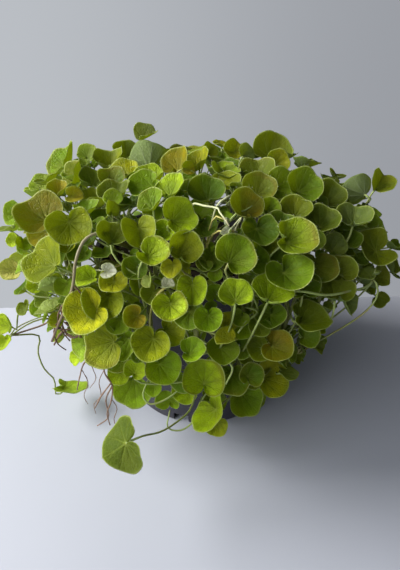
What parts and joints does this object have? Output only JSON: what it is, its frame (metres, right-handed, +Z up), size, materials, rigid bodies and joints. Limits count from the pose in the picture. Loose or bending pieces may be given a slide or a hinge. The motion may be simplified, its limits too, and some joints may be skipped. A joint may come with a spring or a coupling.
{
  "type": "potted kidneyweed",
  "caption": "Trailing potted foliage plant: a dense mound of cupped kidney-shaped leaves on thin stems that spill over a round tapered nursery pot.",
  "frame": {"origin": "centre of the pot's flat underside, on the surface it stands on", "axes": "+Z up; +X to the right and -Y towards the viewer, as in the picture"},
  "size_m": [0.2346, 0.2079, 0.1556],
  "materials": {
    "crown_01": "green leaves with a soft sheen on pale stems",
    "crown_02": "green leaves with a soft sheen on pale stems",
    "crown_03": "green leaves with a soft sheen on pale stems",
    "crown_04": "green leaves with a soft sheen on pale stems",
    "crown_05": "green leaves with a soft sheen on pale stems",
    "crown_06": "green leaves with a soft sheen on pale stems",
    "crown_07": "green leaves with a soft sheen on pale stems",
    "crown_08": "green leaves with a soft sheen on pale stems",
    "crown_09": "green leaves with a soft sheen on pale stems",
    "crown_10": "green leaves with a soft sheen on pale stems",
    "crown_11": "green leaves with a soft sheen on pale stems",
    "crown_12": "green leaves with a soft sheen on pale stems",
    "drape_01": "green leaves with a soft sheen on pale stems",
    "drape_02": "green leaves with a soft sheen on pale stems",
    "drape_03": "green leaves with a soft sheen on pale stems",
    "drape_04": "green leaves with a soft sheen on pale stems",
    "drape_05": "green leaves with a soft sheen on pale stems",
    "drape_06": "green leaves with a soft sheen on pale stems",
    "drape_07": "green leaves with a soft sheen on pale stems",
    "drape_08": "green leaves with a soft sheen on pale stems",
    "drape_09": "green leaves with a soft sheen on pale stems",
    "drape_10": "green leaves with a soft sheen on pale stems",
    "drape_11": "green leaves with a soft sheen on pale stems",
    "drape_12": "green leaves with a soft sheen on pale stems",
    "drape_13": "green leaves with a soft sheen on pale stems",
    "drape_14": "green leaves with a soft sheen on pale stems",
    "drape_15": "green leaves with a soft sheen on pale stems",
    "drape_16": "green leaves with a soft sheen on pale stems",
    "left_runner": "green leaves with a soft sheen on pale stems",
    "pot": "satin moulded charcoal plastic",
    "root_runner": "brown stem with bare roots",
    "soil": "damp dark peat",
    "woody_runner": "dry brown woody stem"
  },
  "bodies": {
    "root": {"crown_01": "crown_01", "crown_02": "crown_02", "crown_03": "crown_03", "crown_04": "crown_04", "crown_05": "crown_05", "crown_06": "crown_06", "crown_07": "crown_07", "crown_08": "crown_08", "crown_09": "crown_09", "crown_10": "crown_10", "crown_11": "crown_11", "crown_12": "crown_12", "drape_01": "drape_01", "drape_02": "drape_02", "drape_03": "drape_03", "drape_04": "drape_04", "drape_05": "drape_05", "drape_06": "drape_06", "drape_07": "drape_07", "drape_08": "drape_08", "drape_09": "drape_09", "drape_10": "drape_10", "drape_11": "drape_11", "drape_12": "drape_12", "drape_13": "drape_13", "drape_14": "drape_14", "drape_15": "drape_15", "drape_16": "drape_16", "left_runner": "left_runner", "pot": "pot", "root_runner": "root_runner", "soil": "soil", "woody_runner": "woody_runner"}
  },
  "joints": []
}
